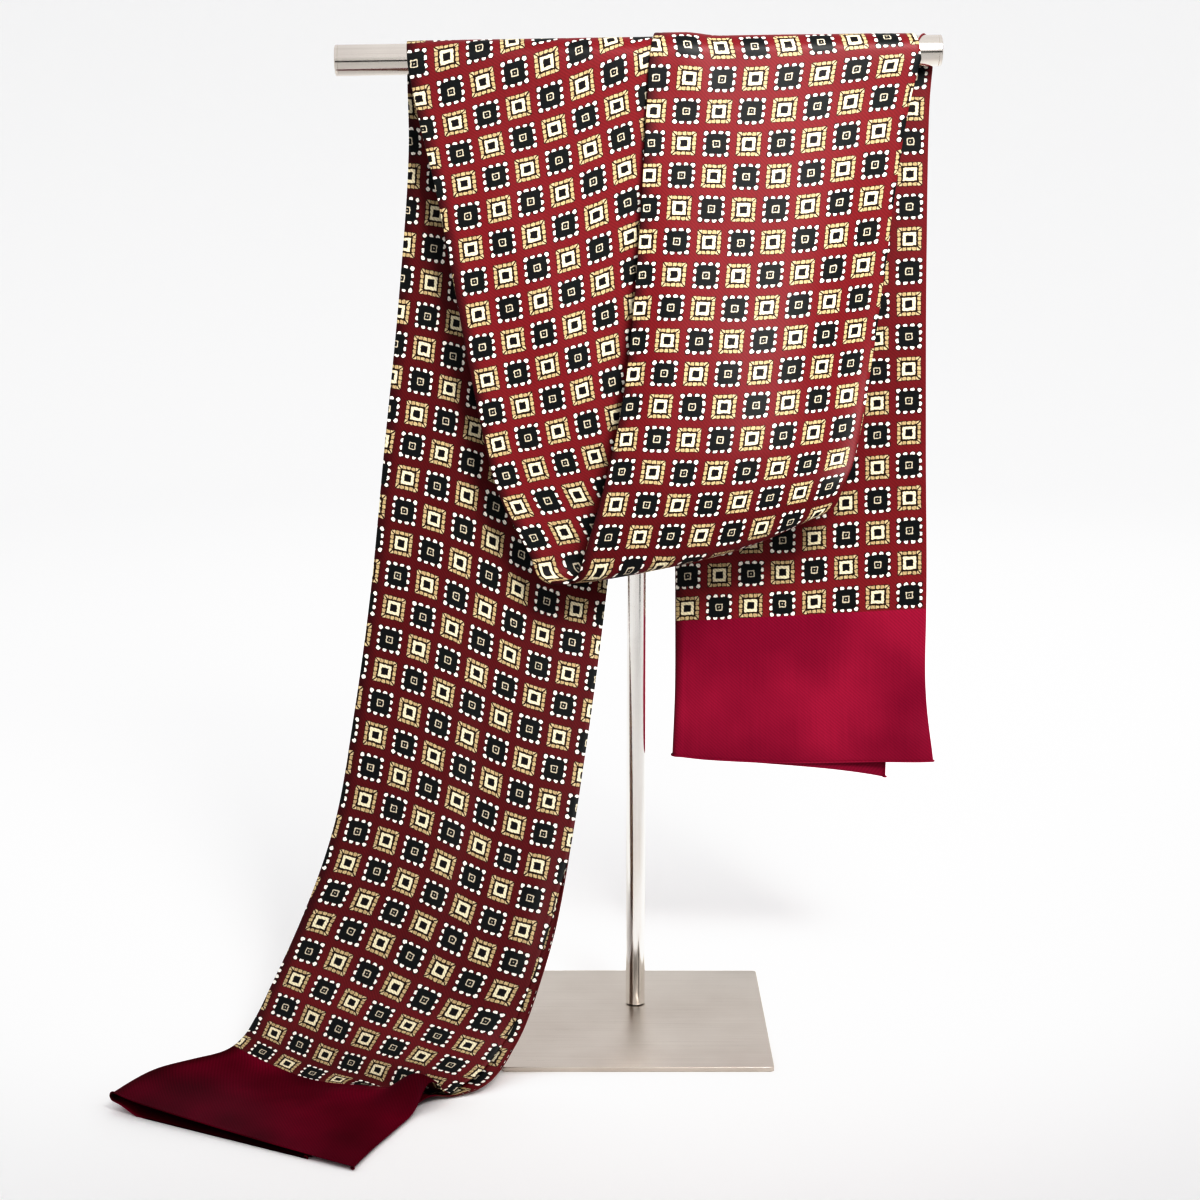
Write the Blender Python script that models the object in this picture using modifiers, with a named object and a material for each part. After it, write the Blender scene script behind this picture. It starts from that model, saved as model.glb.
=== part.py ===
"""Silk scarf draped over a T-shaped display stand, in metres, +Z up.

The stand is a square steel plate, an upright rod and a hollow crossbar. The scarf is folded
lengthwise into two layers, with the fold along its left edge and both long hems along its right
edge. It starts with a plain end on the floor at the front left, climbs behind the crossbar, falls
in front of it, turns up at the bottom of the swag, goes over the crossbar again further right,
and hangs down behind it to its other plain end.

X is to the right, Y to the back. The origin is the centre of the plate's underside.
"""
import math

import bmesh
import bpy
import numpy as np

MM = 0.001

# Stand
PLATE_SIDE = 0.160
PLATE_THICK = 0.003
PLATE_CORNER = 0.0025
PLATE_EDGE = 0.0004
ROD_RADIUS = 0.006
ROD_Y = 0.0225                     # the upright stands behind the middle of the plate
BAR_RADIUS = 0.009
BAR_WALL = 0.001
BAR_LENGTH = 0.352
BAR_Z = 0.5842
BAR_TILT = math.radians(0.93)      # the crossbar sits a little high on the right
CAP_THICK = 0.002
CAP_PLUG = 0.008
SEAT_GAP = 0.0003                  # between pieces that touch

# Cloth
CLOTH_WALL = 0.001
LAYER_PITCH = 0.0015               # between the middles of the two layers where they lie close
SEAM_GAP = 0.0003
NARROW_REACH = 0.86                # the hidden layer reaches this far across the folded width
WRAP_RADIUS = 0.0106               # bar centre to the middle of the folded cloth
OVERLAP_LIFT = 0.0029              # the right wrap lies on top of the left one here
OVERLAP_FROM = 0.026
OVERLAP_TO = 0.048
WRAP_STEPS = 12
FLOOR_Z = 0.00055                  # middle of the under layer where it lies on the floor
FOLD_ZONE = 0.16                   # share of the width over which a soft fold closes
HEM_ZONE = 0.45                    # share of the width over which parted hems open
REST_ZONE = 0.14                   # share of the width in which the under layer reaches the floor
END_DROP = 0.018                   # the layer behind hangs this much lower at the hanging end

ACROSS = 9                         # columns across each layer
FOLD_POINTS = 3                    # points round the fold between the two layers

# Each row is one line across the folded scarf, in millimetres.
#   fold: its left end, on the folded edge        hem: its right end, at the long hems
#   sag: how far its middle hangs below the ends  belly: how far its middle stands forward
#   roll: radius of the soft fold                 part: distance between the two hems
#   rest: 1 where the under layer lies on the floor, 0 where it hangs
COLUMNS = ("fold", "hem", "sag", "belly", "roll", "part", "rest")

FLOOR_END_ROWS = [
    ((-297, -134, 9.0), (-153, -210, 1.4), 1.0, 0, 2.6, 1.5, 1.0),
    ((-279, -109, 13.0), (-142, -179, 1.4), 2.0, 0, 2.2, 1.5, 1.0),
    ((-257, -98, 16.5), (-128, -149, 1.5), 2.5, 0, 1.8, 1.5, 0.9),
    ((-236, -87, 20.5), (-113, -123, 2.4), 1.5, 0, 1.5, 1.5, 0.7),
]
LEFT_TAIL_ROWS = [
    ((-226, -67, 28), (-91, -112, 4.5), -2, 2, 1.2, 1.5, 0.3),
    ((-215, -48, 48), (-73, -93, 19), -3, 2, 1.0, 1.5, 0),
    ((-199, -25, 83), (-56, -70, 57), -2, 1, 1.0, 1.8, 0),
    ((-184, -4, 127), (-42, -39, 106), -1, 0, 1.0, 2.0, 0),
    ((-172, 13, 195), (-31, -6, 170), 0, -2, 1.0, 2.0, 0),
    ((-162, 24, 266), (-21, 20, 243), 0, -2, 1.0, 2.0, 0),
    ((-153, 30.5, 350), (-11.5, 32.5, 334), 0, -1, 1.0, 1.8, 0),
    ((-142, 33, 448), (-2, 33.3, 438), 0, 0, 0.9, 1.6, 0),
    ((-135, 33.3, 534), (8, 33.3, 530), 0, 0, 0.8, 1.5, 0),
]
LEFT_FALL_ROWS = [
    ((-130, 11.7, 560), (26.5, 12.4, 565), 0, 0, 0.8, 1.5, 0),
    ((-118, 11.5, 507), (36.5, 13.7, 520), 0, 0, 0.8, 1.5, 0),
    ((-107, 10.8, 446), (50, 14.1, 471), 0, 0, 0.9, 1.5, 0),
    ((-96, 9.7, 385), (65, 14.1, 423), 0, 0, 1.0, 1.5, 0),
    ((-82.5, 7.8, 328), (83, 14.0, 378), 2, 1, 1.0, 1.5, 0),
    ((-61, 4.0, 284), (105, 13.0, 343), 4, 2, 1.0, 1.5, 0),
]
RIGHT_FALL_ROWS = [
    ((-34, -16, 287), (120, -20, 329), 4, 3, 1.5, 1.5, 0),
    ((-23, -15, 327), (130, -14, 362), 1, 5, 1.5, 1.5, 0),
    ((-11, -8, 379), (139, -3, 407), 0, 5, 1.4, 1.5, 0),
    ((-3, 0, 439), (145.5, 5, 458), 0, 3, 1.2, 1.5, 0),
    ((2, 6, 505), (151, 9.8, 515), 0, 1, 1.0, 1.5, 0),
    ((4.8, 8.7, 559), (157, 11.7, 562), 0, 0, 0.8, 1.5, 0),
]
RIGHT_TAIL_ROWS = [
    ((12.5, 36.3, 556), (171, 33.3, 560), 0, 0, 0.8, 1.5, 0),
    ((16, 35.0, 465), (172, 33.2, 470), 0, 0, 1.2, 2.0, 0),
    ((22, 34.0, 346), (175, 32.8, 354), 0, 0, 2.0, 3.0, 0),
    ((23.5, 33.5, 246), (178, 32, 255), 0, 1, 3.0, 4.5, 0),
]
HANGING_END_ROWS = [
    ((23, 33.0, 202), (178, 31, 208), 0, 2, 4.0, 6.0, 0),
    ((21, 36.0, 160), (182, 27, 161), 2, 3, 5.0, 8.0, 0),
]

# Where the scarf crosses the bar: x of the fold edge and of the hems, behind and in front
LEFT_CROSSING = {"behind": (-133, 16), "front": (-132, 23.3)}
RIGHT_CROSSING = {"behind": (11.3, 168), "front": (6.6, 159.5)}

# The turn at the bottom of the swag: how far it drops below the falls at the fold and at the
# hems, and its number of rows
SWAG_TURN = {"drop_fold": 0.010, "drop_hem": 0.019, "steps": 8}

ROW_SPACING = 0.024

COLOURS = {
    "satin_steel": ((0.55, 0.52, 0.48, 1.0), 0.32, 1.0),
    "printed_silk": ((0.30, 0.025, 0.045, 1.0), 0.42, 0.0),
    "plain_silk": ((0.24, 0.006, 0.03, 1.0), 0.38, 0.0),
}


# helpers

def make_collection(name):
    collection = bpy.data.collections.new(name)
    bpy.context.scene.collection.children.link(collection)
    return collection


def make_material(name):
    colour, roughness, metallic = COLOURS[name]
    material = bpy.data.materials.new(name)
    material.use_nodes = True
    shader = material.node_tree.nodes["Principled BSDF"]
    shader.inputs["Base Color"].default_value = colour
    shader.inputs["Roughness"].default_value = roughness
    shader.inputs["Metallic"].default_value = metallic
    return material


def place(obj, collection, material):
    for old in list(obj.users_collection):
        old.objects.unlink(obj)
    collection.objects.link(obj)
    obj.data.materials.clear()
    obj.data.materials.append(material)
    return obj


def shade(obj, degrees=35):
    obj.data.shade_smooth()
    obj.data.set_sharp_from_angle(angle=math.radians(degrees))


def add_cutter(name, radius, depth, location, rotation, collection, vertices=96):
    bpy.ops.mesh.primitive_cylinder_add(radius=radius, depth=depth, vertices=vertices,
                                        location=location, rotation=rotation)
    cutter = bpy.context.object
    cutter.name = name
    for old in list(cutter.users_collection):
        old.objects.unlink(cutter)
    collection.objects.link(cutter)
    cutter.hide_render = True
    cutter.display_type = "WIRE"
    return cutter


def cut(obj, cutter):
    modifier = obj.modifiers.new("cut", "BOOLEAN")
    modifier.operation = "DIFFERENCE"
    modifier.object = cutter


# stand

def bar_height(x):
    return BAR_Z + x * math.tan(BAR_TILT)


def make_plate(collection, material):
    bpy.ops.mesh.primitive_cube_add(size=1, location=(0, 0, PLATE_THICK / 2))
    plate = bpy.context.object
    plate.name = "base_plate"
    plate.scale = (PLATE_SIDE, PLATE_SIDE, PLATE_THICK)
    bpy.ops.object.transform_apply(location=False, rotation=False, scale=True)
    mesh = bmesh.new()
    mesh.from_mesh(plate.data)
    corners = [edge for edge in mesh.edges
               if abs(edge.verts[0].co.z - edge.verts[1].co.z) > PLATE_THICK / 2]
    bmesh.ops.bevel(mesh, geom=corners, offset=PLATE_CORNER, segments=5, affect="EDGES",
                    profile=0.5)
    mesh.to_mesh(plate.data)
    mesh.free()
    edge = plate.modifiers.new("eased edge", "BEVEL")
    edge.width = PLATE_EDGE
    edge.segments = 1
    edge.limit_method = "ANGLE"
    edge.angle_limit = math.radians(60)
    return place(plate, collection, material)


def make_rod(collection, cutters, material):
    """The upright, with its top cut to sit against the underside of the bar."""
    foot = PLATE_THICK + SEAT_GAP
    top = BAR_Z
    bpy.ops.mesh.primitive_cylinder_add(radius=ROD_RADIUS, depth=top - foot, vertices=48,
                                        location=(0, ROD_Y, (top + foot) / 2))
    rod = bpy.context.object
    rod.name = "upright"
    saddle = add_cutter("saddle_cutter", BAR_RADIUS + SEAT_GAP, 0.06, (0, ROD_Y, BAR_Z),
                        (0, math.pi / 2 - BAR_TILT, 0), cutters)
    cut(rod, saddle)
    shade(rod)
    return place(rod, collection, material)


def make_bar(collection, material):
    """The crossbar, a tube made from the section between its outer and inner radius."""
    half = BAR_LENGTH / 2 - CAP_THICK - SEAT_GAP
    inner = BAR_RADIUS - BAR_WALL
    outline = [(BAR_RADIUS, half), (BAR_RADIUS, -half), (inner, -half), (inner, half)]
    data = bpy.data.meshes.new("crossbar")
    data.from_pydata([(radius, 0, along) for radius, along in outline],
                     [(0, 1), (1, 2), (2, 3), (3, 0)], [])
    bar = bpy.data.objects.new("crossbar", data)
    turn = bar.modifiers.new("turned tube", "SCREW")
    turn.angle = 2 * math.pi
    turn.steps = 64
    turn.render_steps = 64
    turn.use_merge_vertices = True
    turn.merge_threshold = 0.00005
    bar.location = (0, ROD_Y, BAR_Z)
    bar.rotation_euler = (0, math.pi / 2 - BAR_TILT, 0)
    collection.objects.link(bar)
    bar.data.materials.append(material)
    return bar


def make_cap(name, side, collection, material):
    """A closed end: a disc as wide as the bar, with a plug that goes inside it."""
    plug_radius = BAR_RADIUS - BAR_WALL - SEAT_GAP
    edge = PLATE_EDGE
    outline = [(0, CAP_THICK), (BAR_RADIUS - edge, CAP_THICK), (BAR_RADIUS, CAP_THICK - edge),
               (BAR_RADIUS, 0), (plug_radius, 0), (plug_radius, -CAP_PLUG), (0, -CAP_PLUG)]
    data = bpy.data.meshes.new(name)
    data.from_pydata([(radius, 0, along) for radius, along in outline],
                     [(i, i + 1) for i in range(len(outline) - 1)], [])
    cap = bpy.data.objects.new(name, data)
    turn = cap.modifiers.new("turned cap", "SCREW")
    turn.angle = 2 * math.pi
    turn.steps = 48
    turn.render_steps = 48
    turn.use_merge_vertices = True
    turn.merge_threshold = 0.00005
    along = side * (BAR_LENGTH / 2 - CAP_THICK)
    cap.location = (along * math.cos(BAR_TILT), ROD_Y, BAR_Z + along * math.sin(BAR_TILT))
    cap.rotation_euler = (0, side * math.pi / 2 - BAR_TILT, 0)
    collection.objects.link(cap)
    cap.data.materials.append(material)
    return cap


# folded strip

def named(row):
    return dict(zip(COLUMNS, row))


def straight_row(row, share):
    """Points across one table row, with the values that shape its two layers."""
    row = named(row)
    fold = np.array(row["fold"]) * MM
    hem = np.array(row["hem"]) * MM
    points = fold + (hem - fold) * share[:, None]
    middle = 4 * share * (1 - share)
    points[:, 1] -= middle * row["belly"] * MM
    points[:, 2] -= middle * row["sag"] * MM
    return {"points": points, "roll": row["roll"] * MM, "part": row["part"] * MM,
            "rest": row["rest"]}


def wrap_radius(x, lifted):
    if not lifted:
        return np.full_like(x, WRAP_RADIUS)
    down = np.clip((x - OVERLAP_FROM) / (OVERLAP_TO - OVERLAP_FROM), 0, 1)
    down = down * down * (3 - 2 * down)
    return WRAP_RADIUS + OVERLAP_LIFT * (1 - down)


def rows_over_bar(crossing, share, from_behind, lifted):
    """Rows of the half turn over the bar, from one side of it to the other."""
    rows = []
    for step in range(WRAP_STEPS + 1):
        way = step / WRAP_STEPS
        front = way if from_behind else 1 - way
        fold_x, hem_x = [(a + (b - a) * front) * MM
                         for a, b in zip(crossing["behind"], crossing["front"])]
        x = fold_x + (hem_x - fold_x) * share
        radius = wrap_radius(x, lifted)
        angle = math.pi * front
        points = np.stack([x, ROD_Y + radius * math.cos(angle),
                           bar_height(x) + radius * math.sin(angle)], axis=1)
        rows.append({"points": points, "roll": LAYER_PITCH / 2, "part": LAYER_PITCH,
                     "rest": 0.0})
    return rows


def rows_of_turn(above, below, share):
    """Half turn from the last row of the left fall to the first row of the right fall."""
    middle = (above["points"] + below["points"]) / 2
    reach = above["points"] - middle
    drop = SWAG_TURN["drop_fold"] + (SWAG_TURN["drop_hem"] - SWAG_TURN["drop_fold"]) * share
    rows = []
    for step in range(1, SWAG_TURN["steps"]):
        angle = math.pi * step / SWAG_TURN["steps"]
        points = middle + reach * math.cos(angle)
        points[:, 2] -= drop * math.sin(angle)
        roll = above["roll"] + (below["roll"] - above["roll"]) * step / SWAG_TURN["steps"]
        rows.append({"points": points, "roll": roll, "part": LAYER_PITCH, "rest": 0.0})
    return rows


def strip_stretches():
    """All rows of the folded scarf in order, and the name and last row of each stretch."""
    share = np.linspace(0, 1, ACROSS)
    rows = []
    stretches = []

    def add(name, new_rows, drift):
        for index, row in enumerate(new_rows):
            way = (index + 1) / len(new_rows)
            row["drift"] = drift[0] + (drift[1] - drift[0]) * way
        rows.extend(new_rows)
        stretches.append((name, len(rows) - 1))

    def table(part):
        return [straight_row(row, share) for row in part]

    add("scarf_floor_end", table(FLOOR_END_ROWS), (0, 0))
    add("scarf_left_tail", table(LEFT_TAIL_ROWS), (0, 0))
    add("scarf_left_crossing", rows_over_bar(LEFT_CROSSING, share, True, False), (0, 1))
    left_fall = table(LEFT_FALL_ROWS)
    right_fall = table(RIGHT_FALL_ROWS)
    add("scarf_left_fall", left_fall, (1, 1))
    add("scarf_swag_turn", rows_of_turn(left_fall[-1], right_fall[0], share), (1, 0))
    add("scarf_right_fall", right_fall, (0, 0))
    add("scarf_right_crossing", rows_over_bar(RIGHT_CROSSING, share, False, True), (0, 1))
    add("scarf_right_tail", table(RIGHT_TAIL_ROWS), (1, 1))
    add("scarf_hanging_end", table(HANGING_END_ROWS), (1, 1))
    for row in rows:
        row["drop"] = 0.0
    rows[-1]["drop"] = END_DROP
    return rows, stretches


def spline(before, start, end, after, way):
    """Catmull-Rom point between start and end, spaced by the distances between the rows."""
    def span(a, b):
        return max(np.linalg.norm(np.mean(b - a, axis=0)), 1e-6)
    d0, d1, d2 = span(before, start), span(start, end), span(end, after)
    slope_start = (end - start) / d1 - (end - before) / (d0 + d1) + (start - before) / d0
    slope_end = (after - end) / d2 - (after - start) / (d1 + d2) + (end - start) / d1
    t2, t3 = way * way, way * way * way
    return ((2 * t3 - 3 * t2 + 1) * start + (t3 - 2 * t2 + way) * d1 * slope_start
            + (3 * t2 - 2 * t3) * end + (t3 - t2) * d1 * slope_end)


def refine(rows, stretches):
    """Adds rows on a smooth curve wherever two rows lie further apart than ROW_SPACING."""
    fine = []
    ends = {}
    last_of = {index: name for name, index in stretches}
    for index, row in enumerate(rows):
        fine.append(row)
        if index in last_of:
            ends[last_of[index]] = len(fine) - 1
        if index == len(rows) - 1:
            break
        after = rows[index + 1]
        before = rows[max(index - 1, 0)]
        beyond = rows[min(index + 2, len(rows) - 1)]
        distance = np.linalg.norm(after["points"] - row["points"], axis=1).max()
        count = max(1, math.ceil(distance / ROW_SPACING))
        for step in range(1, count):
            way = step / count
            between = {"points": spline(before["points"], row["points"], after["points"],
                                        beyond["points"], way)}
            for key in ("roll", "part", "rest", "drift", "drop"):
                between[key] = row[key] + (after[key] - row[key]) * way
            fine.append(between)
    return fine, ends


def surface_normals(grid):
    along = np.gradient(grid, axis=0)
    across = np.gradient(grid, axis=1)
    normal = np.cross(across, along)
    return normal / np.linalg.norm(normal, axis=2, keepdims=True)


def layer_offset(share, row):
    """Half the distance between the layers at each share of the width."""
    near_fold = np.clip(1 - share / FOLD_ZONE, 0, 1) ** 2
    near_hem = np.clip(1 - (1 - share) / HEM_ZONE, 0, 1) ** 2
    close = LAYER_PITCH / 2
    return close + (row["roll"] - close) * near_fold + (row["part"] / 2 - close) * near_hem


def read_across(values, share):
    columns = np.linspace(0, 1, len(values))
    return np.stack([np.interp(share, columns, values[:, axis]) for axis in range(3)], axis=1)


def folded_sheet(rows):
    """The middle surface of both layers: hem, under layer, fold, upper layer, hem."""
    grid = np.array([row["points"] for row in rows])
    normals = surface_normals(grid)
    sheet = []
    for row, points, normal in zip(rows, grid, normals):
        width = np.linalg.norm(points[-1] - points[0])
        start = min(row["roll"] / width, 0.2)
        reach_first = NARROW_REACH + (1 - NARROW_REACH) * row["drift"]
        reach_second = 1 - (1 - NARROW_REACH) * row["drift"]
        first = start + (reach_first - start) * np.linspace(1, 0, ACROSS)
        second = start + (reach_second - start) * np.linspace(0, 1, ACROSS)

        def layer(share, side):
            centre = read_across(points, share)
            out = read_across(normal, share)
            return centre + side * out * layer_offset(share, row)[:, None]

        under = layer(first, -1)
        settle = np.clip(first / REST_ZONE, 0, 1)
        settle = settle * settle * (3 - 2 * settle) * row["rest"]
        under[:, 2] = under[:, 2] * (1 - settle) + FLOOR_Z * settle
        under[:, 2] = np.maximum(under[:, 2], FLOOR_Z)
        upper = layer(second, 1)
        upper[:, 2] -= row["drop"] * second ** 3
        centre = (under[-1] + upper[0]) / 2
        up = (upper[0] - under[-1]) / 2
        leftward = points[0] - points[1]
        leftward = leftward / np.linalg.norm(leftward) * np.linalg.norm(up)
        fold = []
        for step in range(1, FOLD_POINTS + 1):
            angle = math.pi * step / (FOLD_POINTS + 1)
            fold.append(centre - up * math.cos(angle) + leftward * math.sin(angle))
        sheet.append(np.concatenate([under, np.array(fold), upper]))
    return np.array(sheet)


def walled_mesh(name, sheet, normals):
    """A closed wall on both sides of part of the sheet."""
    rows, columns = sheet.shape[:2]
    outer = sheet + normals * CLOTH_WALL / 2
    inner = sheet - normals * CLOTH_WALL / 2
    count = rows * columns
    vertices = np.concatenate([outer.reshape(-1, 3), inner.reshape(-1, 3)])

    def at(row, column, side):
        return side * count + row * columns + column

    faces = []
    for r in range(rows - 1):
        for c in range(columns - 1):
            faces.append((at(r, c, 0), at(r, c + 1, 0), at(r + 1, c + 1, 0), at(r + 1, c, 0)))
            faces.append((at(r, c, 1), at(r + 1, c, 1), at(r + 1, c + 1, 1), at(r, c + 1, 1)))
    for r in range(rows - 1):
        faces.append((at(r, 0, 0), at(r + 1, 0, 0), at(r + 1, 0, 1), at(r, 0, 1)))
        last = columns - 1
        faces.append((at(r, last, 0), at(r, last, 1), at(r + 1, last, 1), at(r + 1, last, 0)))
    for c in range(columns - 1):
        faces.append((at(0, c, 0), at(0, c, 1), at(0, c + 1, 1), at(0, c + 1, 0)))
        last = rows - 1
        faces.append((at(last, c, 0), at(last, c + 1, 0), at(last, c + 1, 1), at(last, c, 1)))
    data = bpy.data.meshes.new(name)
    data.from_pydata([tuple(map(float, point)) for point in vertices], [], faces)
    data.validate()
    return data


def make_scarf(collection, materials):
    rows, stretches = strip_stretches()
    rows, ends = refine(rows, stretches)
    sheet = folded_sheet(rows)
    normals = surface_normals(sheet)
    start = 0
    for name, _ in stretches:
        end = ends[name]
        piece = sheet[start:end + 1].copy()
        out = normals[start:end + 1]
        half = SEAM_GAP / 2
        if start > 0:
            way = piece[1] - piece[0]
            piece[0] += way / np.linalg.norm(way, axis=1, keepdims=True) * half
        if end < len(sheet) - 1:
            way = piece[-2] - piece[-1]
            piece[-1] += way / np.linalg.norm(way, axis=1, keepdims=True) * half
        data = walled_mesh(name, piece, out)
        obj = bpy.data.objects.new(name, data)
        collection.objects.link(obj)
        plain = name in ("scarf_floor_end", "scarf_hanging_end")
        data.materials.append(materials["plain_silk" if plain else "printed_silk"])
        shade(obj, 60)
        start = end


def main():
    for obj in list(bpy.data.objects):
        bpy.data.objects.remove(obj)
    materials = {name: make_material(name) for name in COLOURS}
    collection = make_collection("silk_scarf_on_stand")
    cutters = make_collection("cutters")
    steel = materials["satin_steel"]
    make_plate(collection, steel)
    make_rod(collection, cutters, steel)
    make_bar(collection, steel)
    make_cap("bar_cap_left", -1, collection, steel)
    make_cap("bar_cap_right", 1, collection, steel)
    make_scarf(collection, materials)


main()
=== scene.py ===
# Silk scarf on a steel display stand. Everything is in metres unless a name or a note says mm.
import math

import bpy
import numpy as np
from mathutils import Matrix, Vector


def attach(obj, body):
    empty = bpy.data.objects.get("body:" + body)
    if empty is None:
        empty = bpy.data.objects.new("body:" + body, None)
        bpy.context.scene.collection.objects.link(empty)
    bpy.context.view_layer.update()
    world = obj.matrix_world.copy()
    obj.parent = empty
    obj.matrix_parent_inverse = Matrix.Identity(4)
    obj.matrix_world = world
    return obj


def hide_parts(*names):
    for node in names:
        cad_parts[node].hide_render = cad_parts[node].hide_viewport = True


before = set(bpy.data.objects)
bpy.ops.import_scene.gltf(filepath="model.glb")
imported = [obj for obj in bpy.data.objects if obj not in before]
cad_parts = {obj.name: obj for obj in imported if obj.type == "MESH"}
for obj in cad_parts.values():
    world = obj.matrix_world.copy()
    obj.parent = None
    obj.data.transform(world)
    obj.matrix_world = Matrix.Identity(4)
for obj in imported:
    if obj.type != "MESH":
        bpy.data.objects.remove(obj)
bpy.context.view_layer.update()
print("frame loaded,", len(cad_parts), "nodes")

mm = 0.001


def linear(code):
    # sRGB hex to the linear colour that a shader socket takes
    values = [int(code[i:i + 2], 16) / 255 for i in (1, 3, 5)]
    return [v / 12.92 if v <= 0.04045 else ((v + 0.055) / 1.055) ** 2.4 for v in values] + [1.0]


def addNode(tree, kind, links=(), **settings):
    # One node with its settings. Links and values go to its inputs by name or number.
    node = tree.nodes.new("ShaderNode" + kind)
    for name, value in settings.items():
        setattr(node, name, value)
    for socket, value in dict(links).items():
        if isinstance(value, bpy.types.NodeSocket):
            tree.links.new(value, node.inputs[socket])
        else:
            node.inputs[socket].default_value = value
    return node


def newMaterial(name, constants):
    # A new material with the constants of its shader, its node tree and the shader
    material = bpy.data.materials.new(name)
    material.use_nodes = True
    tree = material.node_tree
    shader = tree.nodes["Principled BSDF"]
    for socket, value in constants.items():
        shader.inputs[socket].default_value = value
    return material, tree, shader


def putIn(obj):
    bpy.context.scene.collection.objects.link(obj)
    return obj


def turned(name, profile, steps, material):
    # A turned piece: its profile is (radius, distance along the axis)
    mesh = bpy.data.meshes.new(name)
    mesh.from_pydata([(radius, 0, along) for radius, along in profile],
                     [(i, i + 1) for i in range(len(profile) - 1)], [])
    mesh.materials.append(material)
    obj = putIn(bpy.data.objects.new(name, mesh))
    turn = obj.modifiers.new("turned", "SCREW")
    turn.angle = 2 * math.pi
    turn.steps = turn.render_steps = steps
    turn.use_merge_vertices = True
    turn.merge_threshold = 0.02 * mm
    turn.use_smooth_shade = True
    return obj


# Camera: 67 mm lens, a little left of the base and above the swag, tipped down 11 degrees
camera = {"at": (-0.0222, -1.3055, 0.5207), "lens": 66.67, "tipDown": 11.03}

cameraData = bpy.data.cameras.new("camera")
cameraData.sensor_width = 36
cameraData.lens = camera["lens"]
cameraObject = putIn(bpy.data.objects.new("camera", cameraData))
cameraObject.location = camera["at"]
cameraObject.rotation_euler = (math.radians(90 - camera["tipDown"]), 0, 0)
bpy.context.scene.camera = cameraObject

# Pale floor that rises into a low round wall, so that it has no edge from any side
floor = {"flat": 2.3, "reach": 3.4, "wall": 1.25, "bendSteps": 24, "turns": 128,
         "tone": "#f9f9f8", "rough": 0.85, "gloss": 0.2}


def makeFloor():
    bend, steps = floor["reach"] - floor["flat"], floor["bendSteps"]
    profile = [(0.0, 0.0), (floor["flat"], 0.0)]
    for step in range(1, steps + 1):
        angle = math.pi / 2 * step / steps
        profile.append((floor["flat"] + bend * math.sin(angle),
                        floor["wall"] * (1 - math.cos(angle))))
    # Paper reflects evenly with almost no gloss: the floor looks soft white with faint shade
    material = newMaterial("matte paper, coated", {
        "Base Color": linear(floor["tone"]), "Roughness": floor["rough"],
        "Specular IOR Level": floor["gloss"]})[0]
    obj = turned("paleFloor", profile, floor["turns"], material)


# Soft studio light in a bright room: the key hangs close to the swag, high and to the right,
# with a grid that keeps most of it off the tails and the floor. The other one lights the
# floor behind the stand. Spreads are in degrees.
lights = {
    "key": {"at": (0.27, -0.64, 0.91), "aim": (0.05, 0.0, 0.46), "size": 0.36, "spread": 62,
            "watts": 0.86, "tone": "#fffdfb"},
    "backdrop": {"at": (0.55, 0.60, 1.30), "aim": (0.30, 1.50, 0.0), "size": 0.60, "spread": 115,
                 "watts": 1.5, "tone": "#ffffff"},
}
room = {"tone": "#fafafc", "strength": 0.59}


def makeLights():
    for name, light in lights.items():
        data = bpy.data.lights.new(name, "AREA")
        data.shape = "DISK"
        data.size = light["size"]
        data.spread = math.radians(light["spread"])
        data.energy = light["watts"]
        data.color = linear(light["tone"])[:3]
        obj = putIn(bpy.data.objects.new(name, data))
        obj.location = light["at"]
        aim = Vector(light["aim"]) - obj.location
        obj.rotation_euler = aim.to_track_quat("-Z", "Y").to_euler()
    world = bpy.data.worlds.new("bright room")
    world.use_nodes = True
    background = world.node_tree.nodes["Background"]
    background.inputs["Color"].default_value = linear(room["tone"])
    background.inputs["Strength"].default_value = room["strength"]
    bpy.context.scene.world = world


# The photo is printed hard: everything pale runs to white and shade goes deep. Up to the last step
# the curve shows scene light as (light / white) to this power, and then it levels out through the
# shoulder, all before the screen's own curve.
contrast = {"power": 1.5, "white": 0.555, "steps": (0.01, 0.03, 0.07, 0.13, 0.2, 0.3, 0.4, 0.5),
            "shoulder": ((0.58, 0.965), (0.66, 0.99))}


def setContrast():
    view = bpy.context.scene.view_settings
    view.view_transform = "Standard"
    view.use_curve_mapping = True
    # The last of the four curves works on all colours alike
    curve = view.curve_mapping.curves[3]
    for light in contrast["steps"]:
        curve.points.new(light, (light / contrast["white"]) ** contrast["power"])
    for light, shown in contrast["shoulder"]:
        curve.points.new(light, shown)
    view.curve_mapping.extend = "HORIZONTAL"
    view.curve_mapping.update()


# Black cards in front of the stand, unseen in the picture, for the dark lines that make the steel
# look round. Sizes are width and height, each card stands on edge and faces the stand.
cards = {
    "cardLow": {"at": (0, -1.33, 0.31), "size": (1.2, 0.24)},
    "cardRight": {"at": (0.90, -1.07, 0.50), "size": (0.34, 1.0)},
}


def makeCards():
    # Matt black card soaks up light, so the steel that reflects it looks dark there
    material = newMaterial("black card", {"Base Color": linear("#0d0d0d"), "Roughness": 0.9})[0]
    corners = ((-1, -1), (1, -1), (1, 1), (-1, 1))
    for name, card in cards.items():
        width, height = card["size"]
        mesh = bpy.data.meshes.new(name)
        mesh.from_pydata([(x * width / 2, 0, z * height / 2) for x, z in corners],
                         [], [(0, 1, 2, 3)])
        mesh.materials.append(material)
        obj = putIn(bpy.data.objects.new(name, mesh))
        obj.location = card["at"]
        obj.rotation_euler.z = math.atan2(card["at"][1], card["at"][0]) + math.pi / 2
        obj.visible_camera = False


makeFloor()
makeLights()
setContrast()
makeCards()
print("camera, floor, lights and cards done")

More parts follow.
